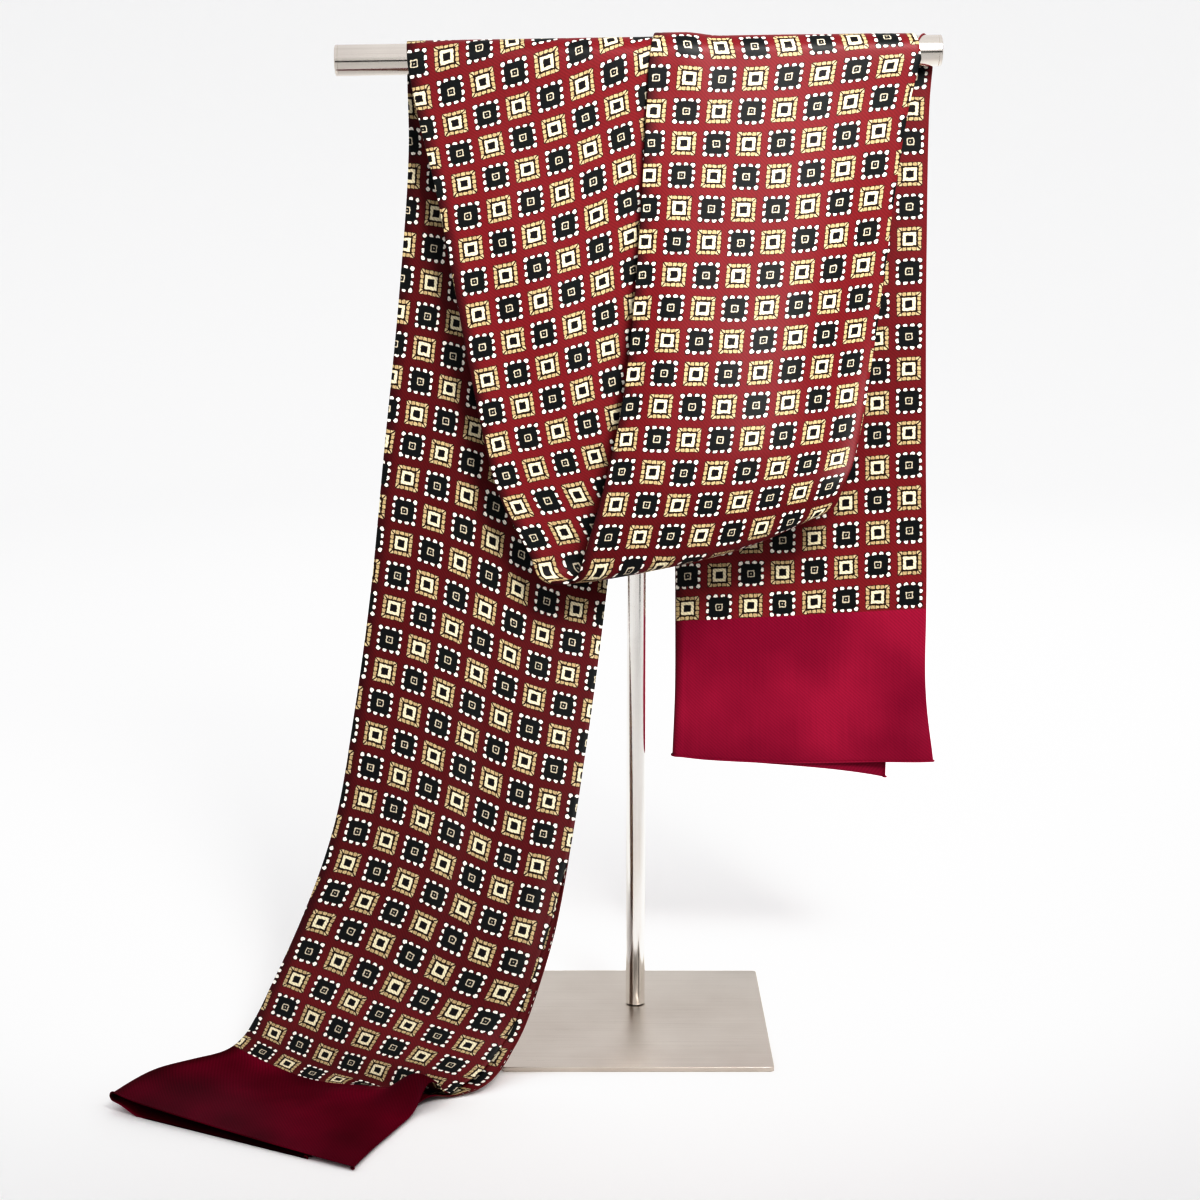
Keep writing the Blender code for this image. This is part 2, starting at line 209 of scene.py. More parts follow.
# Stand sizes, as in the frame, with its fine edges and the seam where each cap starts
stand = {"plateSide": 0.160, "plateThick": 0.003, "plateCorner": 0.0025, "plateEdge": 0.0004,
         "rodRadius": 0.006, "rodY": 0.0225, "rodEdge": 0.0003, "barRadius": 0.009,
         "barLength": 0.352, "barZ": 0.5842, "barTilt": math.radians(0.93), "capThick": 0.002,
         "capEdge": 0.0007, "seam": 0.0001, "gap": 0.0003, "saddle": 0.06}

# How finely its round shapes are drawn, and the angle from which an edge stays sharp
fineness = {"cornerSteps": 8, "edgeSteps": 3, "capSteps": 6, "rings": 60, "rodSides": 96,
            "barSides": 128, "bevelFrom": math.radians(60), "sharpFrom": math.radians(30)}

# The brushing of the steel: pitch and length of the scratches in mm, broad clouds in each metre,
# where the ramp between the two tones starts and ends, how much the roughness varies, and the
# strength and depth of the relief
brushing = {"pitch": 0.35, "length": 90, "clouds": 14.0, "ramp": (0.35, 0.65), "vary": 0.06,
            "strength": 0.12, "depth": 0.04 * mm}

# The steel of each piece. Grain is the axis that it is brushed along.
finishes = {
    "plate": {"name": "stainless steel plate, brushed", "grain": 0, "rough": 0.30,
              "tones": ("#cdc4bb", "#ddd6ce")},
    "rod": {"name": "stainless steel rod, brushed", "grain": 2, "rough": 0.13,
            "tones": ("#f0ece6", "#fbf9f6")},
    "bar": {"name": "stainless steel tube, brushed", "grain": 2, "rough": 0.13,
            "tones": ("#dcd6cf", "#ebe6df")},
}


def brushedSteel(finish):
    # Stainless steel, brushed one way with a fine belt: broad soft reflections along the grain, and
    # fine streaks. The real scratches are under 0.1 mm apart and are drawn wider so that they show.
    material, tree, shader = newMaterial(finish["name"], {"Metallic": 1.0, "Anisotropic": 0.5})
    place = addNode(tree, "TexCoord").outputs["Object"]
    stretch = [1 / (brushing["pitch"] * mm)] * 3
    stretch[finish["grain"]] = 1 / (brushing["length"] * mm)
    grain = addNode(tree, "VectorMath", {0: place, 1: stretch}, operation="MULTIPLY").outputs[0]
    streaks = addNode(tree, "TexNoise", {"Vector": grain, "Scale": 1.0, "Detail": 3.0,
                                         "Roughness": 0.6}).outputs[0]
    clouds = addNode(tree, "TexNoise", {"Vector": place, "Scale": brushing["clouds"],
                                        "Detail": 3.0}).outputs[0]
    both = addNode(tree, "Math", {0: streaks, 1: clouds}, operation="ADD").outputs[0]
    mean = addNode(tree, "Math", {0: both, 1: 0.5}, operation="MULTIPLY").outputs[0]
    tone = addNode(tree, "ValToRGB", {0: mean})
    for stop, at, code in zip(tone.color_ramp.elements, brushing["ramp"], finish["tones"]):
        stop.position = at
        stop.color = linear(code)
    middle, vary = finish["rough"], brushing["vary"]
    rough = addNode(tree, "MapRange", {"Value": streaks, "To Min": middle - vary,
                                       "To Max": middle + vary})
    relief = addNode(tree, "Bump", {"Height": streaks, "Strength": brushing["strength"],
                                    "Distance": brushing["depth"]})
    tree.links.new(tone.outputs[0], shader.inputs["Base Color"])
    tree.links.new(rough.outputs[0], shader.inputs["Roughness"])
    tree.links.new(relief.outputs[0], shader.inputs["Normal"])
    return material


def keepSharp(obj):
    # Smooth shading with the real edges kept, written into the final mesh
    depsgraph = bpy.context.evaluated_depsgraph_get()
    mesh = bpy.data.meshes.new_from_object(obj.evaluated_get(depsgraph))
    obj.modifiers.clear()
    obj.data = mesh
    mesh.shade_smooth()
    mesh.set_sharp_from_angle(angle=fineness["sharpFrom"])


def makePlate():
    side, thick = stand["plateSide"], stand["plateThick"]
    bpy.ops.mesh.primitive_cube_add(size=1, location=(0, 0, thick / 2))
    plate = bpy.context.object
    plate.name = "steelPlate"
    plate.scale = (side, side, thick)
    bpy.ops.object.transform_apply(location=False, rotation=False, scale=True)
    corners = plate.modifiers.new("corners", "BEVEL")
    corners.width = stand["plateCorner"]
    corners.segments = fineness["cornerSteps"]
    corners.limit_method = "WEIGHT"
    weights = plate.data.attributes.new("bevel_weight_edge", "FLOAT", "EDGE")
    for item in plate.data.edges:
        a, b = [plate.data.vertices[i].co for i in item.vertices]
        weights.data[item.index].value = 1.0 if abs(a.z - b.z) > thick / 2 else 0.0
    eased = plate.modifiers.new("eased edge", "BEVEL")
    eased.width = stand["plateEdge"]
    eased.segments = fineness["edgeSteps"]
    eased.limit_method = "ANGLE"
    eased.angle_limit = fineness["bevelFrom"]
    plate.data.materials.append(brushedSteel(finishes["plate"]))
    keepSharp(plate)
    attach(plate, "root")
    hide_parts("base_plate")


def makeRod():
    # Its top is cut to the round of the bar, with the gap between them
    foot, top = stand["plateThick"] + stand["gap"], stand["barZ"]
    radius, eased, rings = stand["rodRadius"], stand["rodEdge"], fineness["rings"]
    profile = [(0, foot), (radius - eased, foot), (radius, foot + eased)]
    profile += [(radius, foot + (top - foot) * step / rings) for step in range(1, rings + 1)]
    profile.append((0, top))
    rod = turned("steelUpright", profile, fineness["rodSides"], brushedSteel(finishes["rod"]))
    rod.location = (0, stand["rodY"], 0)
    bpy.ops.mesh.primitive_cylinder_add(
        radius=stand["barRadius"] + stand["gap"], depth=stand["saddle"],
        vertices=fineness["barSides"], location=(0, stand["rodY"], stand["barZ"]),
        rotation=(0, math.pi / 2 - stand["barTilt"], 0))
    saddle = bpy.context.object
    cut = rod.modifiers.new("saddle", "BOOLEAN")
    cut.operation = "DIFFERENCE"
    cut.object = saddle
    keepSharp(rod)
    bpy.data.objects.remove(saddle)
    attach(rod, "root")
    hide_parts("upright")


def makeBar():
    # One turned shape for the tube and its two caps, with the fine seam where each cap starts
    half, radius, rings = stand["barLength"] / 2, stand["barRadius"], fineness["rings"]
    cap, seam, eased = stand["capThick"], stand["seam"], stand["capEdge"]
    capEnd = [(0, -half)]
    for step in range(fineness["capSteps"] + 1):
        angle = math.pi / 2 * step / fineness["capSteps"]
        capEnd.append((radius - eased + eased * math.sin(angle),
                       -half + eased - eased * math.cos(angle)))
    capEnd += [(radius, -half + cap - seam), (radius - seam, -half + cap),
               (radius, -half + cap + seam)]
    length = 2 * (half - cap - seam)
    tube = [(radius, -half + cap + seam + length * step / rings) for step in range(1, rings)]
    otherEnd = [(across, -along) for across, along in reversed(capEnd)]
    bar = turned("steelCrossbar", capEnd + tube + otherEnd, fineness["barSides"],
                 brushedSteel(finishes["bar"]))
    keepSharp(bar)
    bar.location = (0, stand["rodY"], stand["barZ"])
    bar.rotation_euler = (0, math.pi / 2 - stand["barTilt"], 0)
    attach(bar, "root")
    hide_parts("crossbar", "bar_cap_left", "bar_cap_right")


makePlate()
makeRod()
makeBar()
print("stand done")

# The scarf. Each row is one line across the folded strip, in mm, from the fold to the two hems:
# fold, hem: its two ends   sag: its middle hangs lower   belly: its middle stands forward
# roll: radius of the fold  part: distance between the hems   rest: 1 where it lies on the floor
# along: how far along the cloth it lies, at the fold, a quarter across and so on to the hems
columns = ("fold", "hem", "sag", "belly", "roll", "part", "rest", "along")

# The stretches of the folded strip, each a list of rows
stretches = {
    "floorEnd": [
        ((-297, -134, 9.0), (-153, -210, 1.4), 1.0, 0, 2.6, 1.5, 1.0, (15, 12, 9, 4, -1)),
        ((-279, -109, 13.0), (-142, -179, 1.4), 2.0, 0, 2.2, 1.5, 1.0, (45, 43, 40, 36, 31)),
        ((-257, -98, 16.5), (-128, -149, 1.5), 2.5, 0, 1.8, 1.5, 0.9, (70, 69, 69, 67, 64)),
        ((-236, -87, 20.5), (-113, -123, 2.4), 1.5, 0, 1.5, 1.5, 0.7, (94, 94, 95, 96, 97)),
    ],
    "leftFoot": [
        ((-226, -67, 28), (-91, -112, 4.5), -2, 2, 1.2, 1.5, 0.3, (125, 127, 130, 132, 130)),
        ((-215, -48, 48), (-73, -93, 19), -3, 2, 1.0, 1.5, 0, (158, 162, 168, 171, 166)),
        ((-199, -25, 83), (-56, -70, 57), -2, 1, 1.0, 1.8, 0, (207, 207, 212, 219, 217)),
    ],
    "leftTail": [
        ((-184, -4, 127), (-42, -39, 106), -1, 0, 1.0, 2.0, 0, (257, 260, 267, 276, 275)),
        ((-172, 13, 195), (-31, -6, 170), 0, -2, 1.0, 2.0, 0, (326, 330, 338, 346, 346)),
        ((-162, 24, 266), (-21, 20, 243), 0, -2, 1.0, 2.0, 0, (399, 403, 413, 423, 424)),
        ((-153, 30.5, 350), (-11.5, 32.5, 334), 0, -1, 1.0, 1.8, 0, (482, 487, 494, 506, 513)),
        ((-142, 33, 448), (-2, 33.3, 438), 0, 0, 0.9, 1.6, 0, (580, 586, 592, 603, 614)),
        ((-135, 33.0, 534), (8, 33.0, 530), 0, 0, 0.8, 1.5, 0, (665, 667, 676, 688, 703)),
    ],
    "leftFall": [
        ((-130, 12.3, 560), (26.5, 12.7, 565), 0, 0, 0.8, 1.5, 0, (760, 772, 781, 795, 808)),
        ((-118, 11.5, 507), (36.5, 13.7, 520), 0, 0, 0.8, 1.5, 0, (823, 829, 835, 848, 856)),
        ((-107, 10.8, 446), (50, 14.1, 471), 0, 0, 0.9, 1.5, 0, (888, 889, 894, 903, 907)),
        ((-96, 9.7, 385), (65, 14.1, 423), 0, 0, 1.0, 1.5, 0, (951, 949, 952, 954, 957)),
        ((-82.5, 7.8, 328), (83, 14.0, 378), 2, 1, 1.0, 1.5, 0, (1010, 1008, 1004, 1002, 1005)),
        ((-61, 4.0, 284), (105, 13.0, 343), 4, 2, 1.0, 1.5, 0, (1057, 1050, 1043, 1040, 1047)),
    ],
    "rightFall": [
        ((-34, -16, 287), (120, -20, 329), 4, 3, 1.5, 1.5, 0, (1077, 1082, 1091, 1097, 1108)),
        ((-23, -15, 327), (130, -14, 362), 1, 5, 1.5, 1.5, 0, (1114, 1125, 1133, 1139, 1143)),
        ((-11, -8, 379), (139, -3, 407), 0, 5, 1.4, 1.5, 0, (1168, 1177, 1184, 1187, 1190)),
        ((-3, 0, 439), (145.5, 5, 458), 0, 3, 1.2, 1.5, 0, (1230, 1237, 1242, 1243, 1243)),
        ((2, 6, 505), (151, 9.8, 515), 0, 1, 1.0, 1.5, 0, (1298, 1302, 1306, 1304, 1301)),
        ((4.8, 9.3, 559), (158, 12.2, 562), 0, 0, 0.8, 1.5, 0, (1356, 1358, 1358, 1354, 1348)),
    ],
    "rightTail": [
        ((14, 35.6, 556), (171, 32.8, 560), 0, 0, 0.8, 1.5, 0, (1453, 1449, 1446, 1442, 1441)),
        ((17, 35.0, 465), (172, 33.2, 470), 0, 0, 1.2, 2.0, 0, (1538, 1535, 1533, 1533, 1535)),
        ((22, 34.0, 346), (175, 32.8, 354), 0, 0, 2.0, 3.0, 0, (1651, 1649, 1648, 1651, 1652)),
        ((23.5, 33.5, 246), (178, 32, 255), 0, 1, 3.0, 4.5, 0, (1747, 1747, 1747, 1748, 1748)),
    ],
    "hangingEnd": [
        ((23, 33.0, 202), (178, 31, 208), 0, 2, 4.0, 6.0, 0, (1791, 1792, 1793, 1794, 1795)),
        ((21, 36.0, 160), (182, 27, 161), 2, 3, 5.0, 8.0, 0, (1833, 1836, 1839, 1841, 1842)),
    ],
}

# The wraps over the bar: x of the fold and of the hems, behind it and in front of it
wraps = {
    "leftWrap": {"behind": (-135, 16), "front": (-133.5, 23.3), "fromBehind": True, "onTop": False},
    "rightWrap": {"behind": (12.5, 171.5), "front": (6.6, 164), "fromBehind": False, "onTop": True},
}

# The stretches in their order along the cloth. The turn of the swag joins the two falls.
order = ("floorEnd", "leftFoot", "leftTail", "leftWrap", "leftFall", "turn", "rightFall",
         "rightWrap", "rightTail", "hangingEnd")

scarf = {
    "width": 293,                    # mm, with its rolled hems
    "pitch": 1.1,                    # mm between the two layers where they lie close
    "turnPart": 1.5,                 # mm between the hems at the turn of the swag
    "rollTo": 0.16,                  # share of the width that the roll of the fold takes
    "partFrom": 0.45,                # share of the width where the hems part
    "wrapRadius": 9.95,              # mm, middle of the bar to the middle of the folded strip
    "overlapLift": 2.3,              # mm more where the right wrap lies on the left one
    "overlapFrom": 26, "overlapTo": 48,
    "dropFold": 10, "dropHem": 19,   # mm that the turn of the swag hangs below the falls
    "floorGap": 0.35,                # mm, middle of the cloth to the floor
    "settleTo": 0.14,                # share of the width where the cloth settles on it
    "endDrop": 18,                   # mm that the layer behind hangs lower at the hanging end
    "hemRadius": 0.5,                # mm, a rolled hem
    "hemTurn": 290, "hemSteps": 5,   # degrees that it goes round
    "rowStep": 2.6, "across": 61,    # mm between rows, points across the folded strip
    "layerColumns": 60, "foldColumns": 7,
    "wrapSteps": 18, "turnSteps": 12,
    "evenPasses": 12,                # rounds of evening the curve along the strip
    "heldRows": 9,                   # rows round the bar that they leave alone
    "placeBlur": 0.12,               # share of the width where known places blend
}

# mm along the cloth, where the fold lies and where the upper hem shows, in mm from the under hem,
# and how far across the folded strip each layer reaches (1 is the last point of the row)
layers = [
    (0, 131, 293, 0.80, 1.00), (50, 138, 293, 0.90, 1.00), (92, 142, 293, 0.97, 0.98),
    (123, 144, 293, 1.00, 0.945), (166, 147.5, 292, 1.00, 0.955), (203, 149.5, 287.5, 1.00, 0.965),
    (239, 146, 290, 1.00, 0.975), (281, 145.5, 293, 0.99, 0.99), (360, 146, 293, 0.99, 0.995),
    (480, 145, 293, 0.99, 1.00), (518, 143, 293, 0.99, 1.00), (600, 141.5, 293, 0.99, 1.00),
    (670, 141.5, 293, 0.98, 0.98), (745, 147, 293, 0.95, 0.94), (778, 146.5, 293, 0.93, 0.94),
    (821, 143, 293, 0.91, 0.95), (861, 139, 293, 0.875, 0.95), (897, 136, 293, 0.84, 0.95),
    (934, 134, 293, 0.795, 0.94), (976, 132.5, 293, 0.745, 0.93), (1019, 132.5, 293, 0.70, 0.93),
    (1045, 131, 292, 0.70, 0.93), (1080, 129, 286, 0.78, 0.98), (1102, 129, 286, 0.82, 1.00),
    (1143, 131.5, 287.5, 0.85, 1.00), (1182, 136, 289, 0.88, 1.00), (1223, 138, 289.5, 0.89, 1.00),
    (1304, 138.5, 289.5, 0.90, 1.00), (1342, 138, 291, 0.92, 1.00), (1379, 137.5, 292, 0.96, 1.00),
    (1412, 150, 293, 1.00, 0.92), (1450, 152, 293, 1.00, 0.89), (1745, 152.5, 293, 0.995, 0.885),
    (1838, 157, 293, 1.00, 0.826),
]

# Creases and lifts of the strip: place across (0 to 1) and mm along, half size across and along in
# mm, its turn in degrees, and its height in mm. Some lift straight up, the others along the cloth's
# own normal.
lifts = [
    (0.93, 90, 15, 12, 0, 15.0, True),
    (0.66, 84, 18, 9, 0, 3.0, True),
    (0.74, 112, 22, 9, 0, -6.0, True),
    (0.36, 98, 42, 40, 0, -8.5, True),
    (0.50, 114, 60, 9, 0, -2.2, True),
    (0.45, 148, 60, 16, 0, 2.2, False),
    (0.28, 460, 14, 120, -4, 1.6, False),
    (0.585, 300, 13, 90, 2.4, -1.8, False),
    (0.88, 235, 9, 70, -2, 1.8, False),
    (0.98, 1190, 34, 115, 0, -12.0, False),
    (0.00, 1185, 14, 100, 0, -6.0, False),
    (0.45, 1150, 20, 60, 12, 1.2, False),
    (0.30, 900, 16, 80, -8, -1.4, False),
    (0.55, 980, 12, 60, 10, 1.2, False),
    (0.35, 1640, 14, 80, 5, 1.2, False),
    (0.70, 1560, 16, 110, -4, -1.4, False),
    (0.02, 1800, 12, 80, 0, 5.5, False),
    (0.96, 1838, 16, 24, 35, -4.5, False),
    (0.45, 1830, 30, 20, 0, -2.0, False),
]


def ease(x):
    x = np.clip(x, 0, 1)
    return x * x * (3 - 2 * x)


def straightRow(row, share):
    row = dict(zip(columns, row))
    fold, hem = np.array(row["fold"], float), np.array(row["hem"], float)
    points = fold + (hem - fold) * share[:, None]
    middle = 4 * share * (1 - share)
    points[:, 1] -= middle * row["belly"]
    points[:, 2] -= middle * row["sag"]
    return {**row, "points": points}


def wrapRows(wrap, share):
    # Rows round the bar, from one side of it to the other
    rows, steps = [], scarf["wrapSteps"]
    for step in range(steps + 1):
        front = step / steps if wrap["fromBehind"] else 1 - step / steps
        foldX, hemX = [a + (b - a) * front for a, b in zip(wrap["behind"], wrap["front"])]
        x = foldX + (hemX - foldX) * share
        radius = np.full_like(x, scarf["wrapRadius"])
        if wrap["onTop"]:
            down = ease((x - scarf["overlapFrom"]) / (scarf["overlapTo"] - scarf["overlapFrom"]))
            radius += scarf["overlapLift"] * (1 - down)
        angle = math.pi * front
        barZ = stand["barZ"] / mm + x * math.tan(stand["barTilt"])
        points = np.stack([x, stand["rodY"] / mm + radius * math.cos(angle),
                           barZ + radius * math.sin(angle)], axis=1)
        rows.append({"points": points, "roll": scarf["pitch"] / 2, "part": scarf["pitch"],
                     "rest": 0.0, "along": None})
    return rows


def turnRows(above, below, share):
    # Rows round the soft turn at the bottom of the swag
    middle = (above["points"] + below["points"]) / 2
    reach = above["points"] - middle
    drop = scarf["dropFold"] + (scarf["dropHem"] - scarf["dropFold"]) * share
    rows, steps = [], scarf["turnSteps"]
    for step in range(1, steps):
        angle = math.pi * step / steps
        points = middle + reach * math.cos(angle)
        points[:, 2] -= drop * math.sin(angle)
        roll = above["roll"] + (below["roll"] - above["roll"]) * step / steps
        rows.append({"points": points, "roll": roll, "part": scarf["turnPart"], "rest": 0.0,
                     "along": None})
    return rows


def curveBetween(before, start, end, after, way):
    # A smooth curve through rows at uneven distances
    def span(a, b):
        return max(np.linalg.norm(np.mean(b - a, axis=0)), 1e-6)
    d0, d1, d2 = span(before, start), span(start, end), span(end, after)
    first = (end - start) / d1 - (end - before) / (d0 + d1) + (start - before) / d0
    last = (after - end) / d2 - (after - start) / (d1 + d2) + (end - start) / d1
    t2, t3 = way * way, way * way * way
    return ((2 * t3 - 3 * t2 + 1) * start + (t3 - 2 * t2 + way) * d1 * first
            + (3 * t2 - 2 * t3) * end + (t3 - t2) * d1 * last)


def stripRows():
    # Every row of the folded strip on a smooth curve, the last row of each stretch, and the rows
    # whose place along the cloth is known
    share = np.linspace(0, 1, scarf["across"])
    parts = {name: [straightRow(row, share) for row in rows] for name, rows in stretches.items()}
    for name, wrap in wraps.items():
        parts[name] = wrapRows(wrap, share)
    parts["turn"] = turnRows(parts["leftFall"][-1], parts["rightFall"][0], share)
    coarse = [{**row, "drop": 0.0} for name in order for row in parts[name]]
    names = [name for name in order for _ in parts[name]]
    coarse[-1]["drop"] = scarf["endDrop"]
    fine, stretch, ends, known = [], [], {}, []
    for index, row in enumerate(coarse):
        fine.append(row)
        stretch.append(names[index])
        if row["along"]:
            known.append((len(fine) - 1, row["along"]))
        if index + 1 == len(coarse) or names[index + 1] != names[index]:
            ends[names[index]] = len(fine) - 1
        if index + 1 == len(coarse):
            break
        after = coarse[index + 1]
        before, beyond = coarse[max(index - 1, 0)], coarse[min(index + 2, len(coarse) - 1)]
        far = np.linalg.norm(after["points"] - row["points"], axis=1).max()
        count = max(1, math.ceil(far / scarf["rowStep"]))
        for step in range(1, count):
            way = step / count
            between = {"points": curveBetween(before["points"], row["points"], after["points"],
                                              beyond["points"], way)}
            for key in ("roll", "part", "rest", "drop"):
                between[key] = row[key] + (after[key] - row[key]) * way
            fine.append(between)
            stretch.append(names[index + 1])
    return fine, stretch, ends, known


def gridNormals(grid):
    normal = np.cross(np.gradient(grid, axis=1), np.gradient(grid, axis=0))
    return normal / np.maximum(np.linalg.norm(normal, axis=2, keepdims=True), 1e-9)


def evened(grid, stretch):
    # Evens the curve along the strip, except where it wraps the bar
    onBar = np.array([name in wraps for name in stretch], float)
    free = np.where(np.convolve(onBar, np.ones(scarf["heldRows"]), "same") > 0, 0.0, 1.0)
    free[[0, -1]] = 0
    for _ in range(scarf["evenPasses"]):
        mean = grid.copy()
        mean[1:-1] = (grid[:-2] + 2 * grid[1:-1] + grid[2:]) / 4
        grid = grid + (mean - grid) * free[:, None, None]
    return grid


def placesAlong(grid, known):
    # How far along the cloth each point of the strip lies
    steps = np.linalg.norm(np.diff(grid, axis=0), axis=2)
    length = np.concatenate([np.zeros((1, grid.shape[1])), np.cumsum(steps, axis=0)])
    share, quarters = np.linspace(0, 1, grid.shape[1]), np.linspace(0, 1, 5)
    blend = np.exp(-((share[:, None] - share) / scarf["placeBlur"]) ** 2)
    blend /= blend.sum(axis=1, keepdims=True)
    at = [blend @ np.interp(share, quarters, along) for _, along in known]
    along = np.zeros_like(length)
    for index in range(len(known) - 1):
        start, end = known[index][0], known[index + 1][0]
        part = length[start:end + 1] - length[start]
        along[start:end + 1] = at[index] + part / part[-1] * (at[index + 1] - at[index])
    return along


def lifted(grid, along):
    normals = gridNormals(grid)
    share = np.linspace(0, 1, grid.shape[1])[None, :]
    width = np.linalg.norm(grid[:, -1] - grid[:, 0], axis=1)[:, None]
    moved = grid.copy()
    for across, place, wide, long, turn, height, up in lifts:
        x, y = (share - across) * width, along - place
        c, s = math.cos(math.radians(turn)), math.sin(math.radians(turn))
        size = height * np.exp(-(((x * c + y * s) / wide) ** 2 + ((y * c - x * s) / long) ** 2))
        if up:
            moved[:, :, 2] += size
        else:
            moved += normals * size[:, :, None]
    return moved


def readAcross(values, spot, spots):
    # The values of a row, given at its spots from the fold (0) to the hems (1), at other spots
    if values.ndim == 1:
        return np.interp(spot, spots, values)
    return np.stack([np.interp(spot, spots, values[:, axis]) for axis in range(3)], axis=1)


def layerShift(spot, row):
    # Half the distance between the two layers
    close = scarf["pitch"] / 2
    nearFold = np.clip(1 - spot / scarf["rollTo"], 0, 1) ** 2
    nearHem = np.clip(1 - (1 - spot) / scarf["partFrom"], 0, 1) ** 2
    return close + (row["roll"] - close) * nearFold + (row["part"] / 2 - close) * nearHem


def hemRoll(out, inward):
    # The points round a rolled hem, from the last point of the cloth, and how much cloth they take
    radius, steps = scarf["hemRadius"], scarf["hemSteps"]
    angles = [math.radians(scarf["hemTurn"]) * step / steps for step in range(1, steps + 1)]
    return [(radius * (out * math.sin(angle) + inward * (1 - math.cos(angle))), radius * angle)
            for angle in angles]


def sideHem(last, before, inward, across, side):
    # The long hem of one layer: a small roll towards the side that the layer turns inward
    out = last - before
    out /= np.linalg.norm(out)
    inward = inward - out * np.dot(inward, out)
    inward /= np.linalg.norm(inward)
    roll = hemRoll(out, inward)
    return [last + point for point, _ in roll], [across + side * cloth for _, cloth in roll]


def endHem(points, places, end, inner, way):
    # The hem across one end of the cloth, rolled outwards
    out = points[end] - points[inner]
    out /= np.linalg.norm(out, axis=1, keepdims=True)
    normal = gridNormals(points)[end]
    normal -= out * np.sum(normal * out, axis=1, keepdims=True)
    rows, spots = [], []
    for point, cloth in hemRoll(out, normal):
        row = points[end] + point
        row[:, 2] = np.maximum(row[:, 2], scarf["floorGap"])
        rows.append(row)
        spots.append(places[end] + [0, way * cloth, 0])
    return rows, spots


def layerRow(row, side, reach, fold, wide):
    # One layer of a row, from the fold to the end of its hem: the points and their places across
    # and along the flat cloth. Side is 1 for the upper layer and -1 for the one under it.
    share = np.linspace(0, 1, scarf["layerColumns"])
    start = row["roll"] / row["length"]
    spot = start + (reach - start) * share
    out = readAcross(row["out"], spot, row["spots"])
    points = (readAcross(row["line"], spot, row["spots"])
              + side * out * layerShift(spot, row)[:, None])
    if side < 0:
        settle = ease(spot / scarf["settleTo"]) * row["rest"]
        points[:, 2] = points[:, 2] * (1 - settle) + scarf["floorGap"] * settle
    else:
        points[:, 2] -= row["drop"] * spot ** 3
    points[:, 2] = np.maximum(points[:, 2], scarf["floorGap"])
    arc = math.pi * row["roll"] / 2
    across = fold + side * (arc + (wide - arc) * share)
    along = readAcross(row["places"], spot, row["spots"])
    hem, hemAcross = sideHem(points[-1], points[-2], -side * out[-1], across[-1], side)
    return (np.concatenate([points, hem]), np.concatenate([across, hemAcross]),
            np.concatenate([along, np.full(len(hem), along[-1])]))


def foldRow(row, under, upper, fold):
    # The round of the fold, between the first points of the two layers, and its places
    middle, up = (under + upper) / 2, (upper - under) / 2
    left = row["line"][0] - row["line"][1]
    left = left / np.linalg.norm(left) * np.linalg.norm(up)
    arc, count = math.pi * row["roll"] / 2, scarf["foldColumns"]
    angles = [math.pi * step / (count + 1) for step in range(1, count + 1)]
    return ([middle - up * math.cos(angle) + left * math.sin(angle) for angle in angles],
            [fold - arc * math.cos(angle) for angle in angles],
            np.full(count, row["places"][0]))


def foldedCloth():
    # Points of the whole cloth, rows by columns. For each one its place on the flat cloth: across,
    # along and how far it is from the fold.
    rows, stretch, ends, known = stripRows()
    grid = evened(np.array([row["points"] for row in rows]), stretch)
    grid = lifted(grid, placesAlong(grid, known))
    along, normals = placesAlong(grid, known), gridNormals(grid)
    given, *table = np.array(layers, float).T
    points, places = [], []
    for row, line, out, placesHere in zip(rows, grid, normals, along):
        steps = np.linalg.norm(np.diff(line, axis=0), axis=1)
        distance = np.concatenate([[0], np.cumsum(steps)])
        row = {**row, "line": line, "out": out, "places": placesHere, "length": distance[-1],
               "spots": distance / distance[-1]}
        middle = placesHere[len(placesHere) // 2]
        fold, hem, reachUnder, reachUpper = [np.interp(middle, given, column) for column in table]
        under = layerRow(row, -1, reachUnder, fold, fold)
        upper = layerRow(row, 1, reachUpper, fold, hem - fold)
        turn = foldRow(row, under[0][0], upper[0][0], fold)
        at, acrossAt, alongAt = [np.concatenate([first[::-1], second, third])
                                 for first, second, third in zip(under, turn, upper)]
        points.append(at)
        places.append(np.stack([acrossAt, alongAt, np.abs(acrossAt - fold)], axis=1))
    points, places = np.array(points), np.array(places)
    first, firstPlaces = endHem(points, places, 0, 1, -1)
    last, lastPlaces = endHem(points, places, -1, -2, 1)
    points = np.concatenate([first[::-1], points, last])
    places = np.concatenate([firstPlaces[::-1], places, lastPlaces])
    return points, places, {name: row + len(first) for name, row in ends.items()}


clothPoints, clothPlaces, clothEnds = foldedCloth()
print("cloth worked out,", clothPoints.shape)


